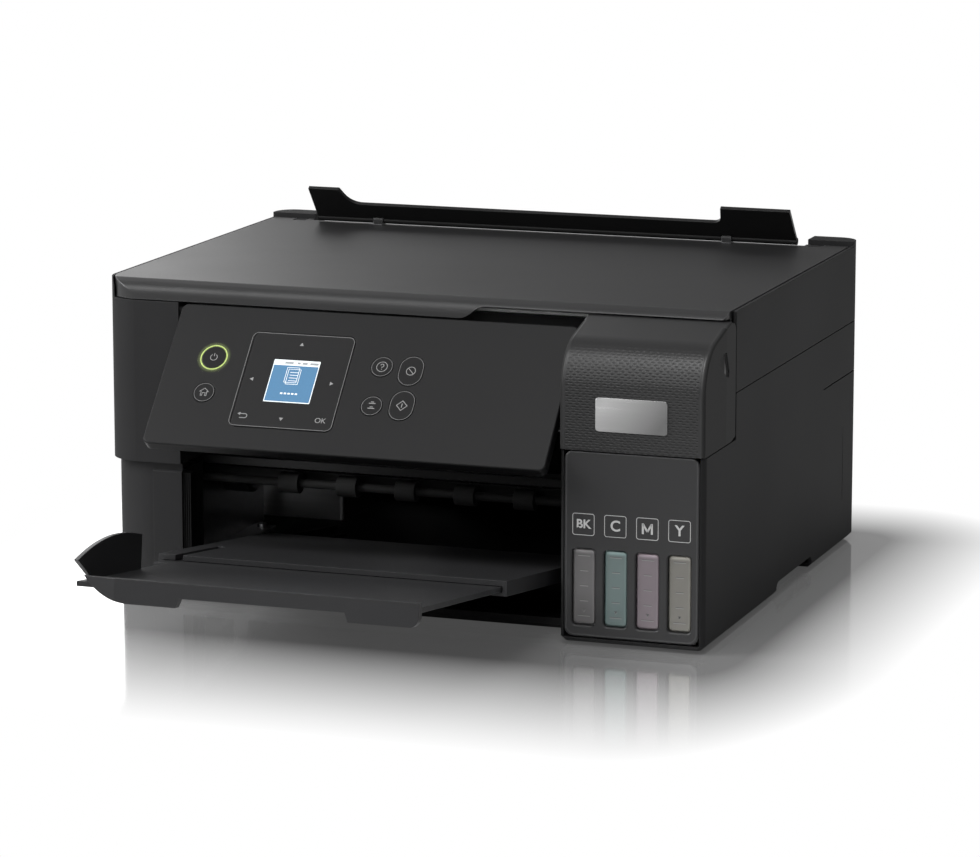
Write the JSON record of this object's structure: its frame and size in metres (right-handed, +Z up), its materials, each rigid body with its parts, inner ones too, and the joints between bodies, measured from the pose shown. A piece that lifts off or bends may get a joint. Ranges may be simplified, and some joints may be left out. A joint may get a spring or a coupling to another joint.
{
  "type": "inkjet printer",
  "caption": "Desktop inkjet printer with a flatbed scanner, a side bay of refillable ink tanks, a tilting control panel, a rear sheet feeder and a pull-out tray.",
  "frame": {"origin": "on the table, under the middle of the whole object with its tray pulled out", "axes": "+Z up, -Y towards the front where the panel and the tray are, +X to the right as seen from the front"},
  "size_m": [0.375, 0.542, 0.2046],
  "materials": {
    "case_plastic": "satin",
    "lid_plastic": "satin",
    "panel_plastic": "satin",
    "gloss_black": "gloss",
    "button_plastic": "satin",
    "power_plastic": "satin",
    "inner_plastic": "satin",
    "white_pad": "satin",
    "glass": "gloss",
    "steel": "satin",
    "rubber": "matte",
    "ink_black": "gloss",
    "ink_cyan": "gloss",
    "ink_magenta": "gloss",
    "ink_yellow": "gloss",
    "cap_black": "satin",
    "cap_cyan": "satin",
    "cap_magenta": "satin",
    "cap_yellow": "satin",
    "gear_white": "satin",
    "board_green": "satin"
  },
  "bodies": {
    "base": {"lower_case": "case_plastic", "rubber_feet": "rubber", "tank_panel": "case_plastic", "ink_tank_black": "ink_black", "ink_tank_cyan": "ink_cyan", "ink_tank_magenta": "ink_magenta", "ink_tank_yellow": "ink_yellow", "cap_bracket": "inner_plastic", "cover_hinge": "inner_plastic", "rear_case": "case_plastic", "unit_hinges": "steel", "main_frame": "steel", "frame_screws": "steel", "guide_rod": "steel", "encoder_strip": "steel", "carriage_belt": "rubber", "carriage_motor": "steel", "capping_station": "inner_plastic", "platen": "inner_plastic", "star_wheel_holder": "inner_plastic", "feed_motor": "steel", "waste_ink_box": "inner_plastic", "power_supply": "steel", "main_board": "board_green", "ink_tubes": "inner_plastic"},
    "scanner_unit": {"scanner_frame": "case_plastic", "scanner_glass": "glass", "scan_guide_rod": "steel"},
    "scan_bar": {"scan_bar": "inner_plastic"},
    "document_lid": {"document_lid": "lid_plastic", "document_pad": "white_pad"},
    "feeder_guard": {"feeder_guard": "lid_plastic"},
    "control_panel": {"control_panel": "panel_plastic", "panel_display": "gloss_black"},
    "tank_cover": {"tank_cover": "case_plastic"},
    "paper_support": {"paper_support": "inner_plastic"},
    "edge_guide_left": {"edge_guide_left": "inner_plastic"},
    "edge_guide_right": {"edge_guide_right": "inner_plastic"},
    "output_tray": {"output_tray": "inner_plastic"},
    "tray_extension": {"tray_extension": "inner_plastic"},
    "print_carriage": {"print_carriage": "inner_plastic", "print_head": "steel"},
    "belt_pulley_drive": {"belt_pulley_drive": "gear_white"},
    "belt_pulley_idle": {"belt_pulley_idle": "gear_white"},
    "feed_roller": {"feed_roller": "rubber", "feed_gear": "gear_white"},
    "idler_gear": {"idler_gear": "gear_white"},
    "exit_roller": {"exit_roller": "rubber"},
    "feed_pinion": {"feed_pinion": "gear_white"},
    "pickup_roller": {"pickup_roller": "rubber"},
    "power_button": {"power_button": "power_plastic"},
    "home_button": {"home_button": "button_plastic"},
    "help_button": {"help_button": "button_plastic"},
    "stop_button": {"stop_button": "button_plastic"},
    "menu_button": {"menu_button": "button_plastic"},
    "start_button": {"start_button": "button_plastic"},
    "tank_cap_black": {"tank_cap_black": "cap_black"},
    "tank_cap_cyan": {"tank_cap_cyan": "cap_cyan"},
    "tank_cap_magenta": {"tank_cap_magenta": "cap_magenta"},
    "tank_cap_yellow": {"tank_cap_yellow": "cap_yellow"}
  },
  "joints": [
    {"name": "unit_lift", "type": "hinge", "parent": "base", "child": "scanner_unit", "pos_m": [0, 0.241, 0.15], "axis": [-1, 0, 0], "range_deg": [0, 28]},
    {"name": "lid_open", "type": "hinge", "parent": "scanner_unit", "child": "document_lid", "pos_m": [0, 0.231, 0.1772], "axis": [1, 0, 0], "range_deg": [-55, 0]},
    {"name": "guard_fold", "type": "hinge", "parent": "document_lid", "child": "feeder_guard", "pos_m": [0, 0.2254, 0.1832], "axis": [-1, 0, 0], "range_deg": [0, 105]},
    {"name": "panel_tilt", "type": "hinge", "parent": "scanner_unit", "child": "control_panel", "pos_m": [0, -0.02011, 0.16414], "axis": [1, 0, 0], "range_deg": [0, 41.4]},
    {"name": "power_press", "type": "slide", "parent": "control_panel", "child": "power_button", "axis": [0, 0.7501, -0.6613], "range_m": [0, 0.0006], "stiffness_N_per_m": 400},
    {"name": "home_press", "type": "slide", "parent": "control_panel", "child": "home_button", "axis": [0, 0.7501, -0.6613], "range_m": [0, 0.0006], "stiffness_N_per_m": 400},
    {"name": "help_press", "type": "slide", "parent": "control_panel", "child": "help_button", "axis": [0, 0.7501, -0.6613], "range_m": [0, 0.0006], "stiffness_N_per_m": 400},
    {"name": "stop_press", "type": "slide", "parent": "control_panel", "child": "stop_button", "axis": [0, 0.7501, -0.6613], "range_m": [0, 0.0006], "stiffness_N_per_m": 400},
    {"name": "menu_press", "type": "slide", "parent": "control_panel", "child": "menu_button", "axis": [0, 0.7501, -0.6613], "range_m": [0, 0.0006], "stiffness_N_per_m": 400},
    {"name": "start_press", "type": "slide", "parent": "control_panel", "child": "start_button", "axis": [0, 0.7501, -0.6613], "range_m": [0, 0.0006], "stiffness_N_per_m": 400},
    {"name": "cover_open", "type": "hinge", "parent": "base", "child": "tank_cover", "pos_m": [0, -0.0264, 0.16957], "axis": [-1, 0, 0], "range_deg": [0, 70]},
    {"name": "cap_open_black", "type": "hinge", "parent": "base", "child": "tank_cap_black", "pos_m": [0, -0.0301, 0.0988], "axis": [-1, 0, 0], "range_deg": [0, 75]},
    {"name": "cap_open_cyan", "type": "hinge", "parent": "base", "child": "tank_cap_cyan", "pos_m": [0, -0.0301, 0.0988], "axis": [-1, 0, 0], "range_deg": [0, 75]},
    {"name": "cap_open_magenta", "type": "hinge", "parent": "base", "child": "tank_cap_magenta", "pos_m": [0, -0.0301, 0.0988], "axis": [-1, 0, 0], "range_deg": [0, 75]},
    {"name": "cap_open_yellow", "type": "hinge", "parent": "base", "child": "tank_cap_yellow", "pos_m": [0, -0.0301, 0.0988], "axis": [-1, 0, 0], "range_deg": [0, 75]},
    {"name": "support_pull", "type": "slide", "parent": "base", "child": "paper_support", "axis": [0, -0.6293, -0.7771], "range_m": [-0.085, 0]},
    {"name": "guide_left_slide", "type": "slide", "parent": "base", "child": "edge_guide_left", "axis": [1, 0, 0], "range_m": [0, 0.05]},
    {"name": "guide_right_slide", "type": "slide", "parent": "base", "child": "edge_guide_right", "axis": [1, 0, 0], "range_m": [-0.05, 0]},
    {"name": "tray_slide", "type": "slide", "parent": "base", "child": "output_tray", "axis": [0, 0.9914, -0.1305], "range_m": [0, 0.11]},
    {"name": "extension_slide", "type": "slide", "parent": "output_tray", "child": "tray_extension", "axis": [0, 0.9914, -0.1305], "range_m": [0, 0.11]},
    {"name": "carriage_slide", "type": "slide", "parent": "base", "child": "print_carriage", "axis": [1, 0, 0], "range_m": [-0.25, 0]},
    {"name": "drive_pulley_spin", "type": "hinge", "parent": "base", "child": "belt_pulley_drive", "pos_m": [-0.143, 0.111, 0.09], "axis": [0, 1, 0], "continuous": true},
    {"name": "idle_pulley_spin", "type": "hinge", "parent": "base", "child": "belt_pulley_idle", "pos_m": [0.138, 0.111, 0.09], "axis": [0, 1, 0], "continuous": true},
    {"name": "scan_slide", "type": "slide", "parent": "scanner_unit", "child": "scan_bar", "axis": [1, 0, 0], "range_m": [0, 0.3]},
    {"name": "feed_spin", "type": "hinge", "parent": "base", "child": "feed_roller", "pos_m": [0, 0.085, 0.061], "axis": [1, 0, 0], "continuous": true},
    {"name": "idler_spin", "type": "hinge", "parent": "base", "child": "idler_gear", "pos_m": [-0.166, 0.054, 0.0598], "axis": [1, 0, 0], "continuous": true},
    {"name": "exit_spin", "type": "hinge", "parent": "base", "child": "exit_roller", "pos_m": [0, 0.023, 0.0586], "axis": [1, 0, 0], "continuous": true},
    {"name": "pinion_spin", "type": "hinge", "parent": "base", "child": "feed_pinion", "pos_m": [-0.166, 0.0973, 0.0487], "axis": [1, 0, 0], "continuous": true},
    {"name": "pickup_spin", "type": "hinge", "parent": "base", "child": "pickup_roller", "pos_m": [0, 0.1396, 0.0891], "axis": [1, 0, 0], "continuous": true}
  ],
  "couplings": [
    {"joint": "guide_right_slide", "follows": "guide_left_slide", "ratio": -1},
    {"joint": "drive_pulley_spin", "follows": "carriage_slide", "rad_per_m": 149.25},
    {"joint": "idle_pulley_spin", "follows": "carriage_slide", "rad_per_m": 149.25},
    {"joint": "idler_spin", "follows": "feed_spin", "ratio": -0.66667},
    {"joint": "exit_spin", "follows": "feed_spin", "ratio": 1},
    {"joint": "pinion_spin", "follows": "feed_spin", "ratio": -2.4}
  ]
}
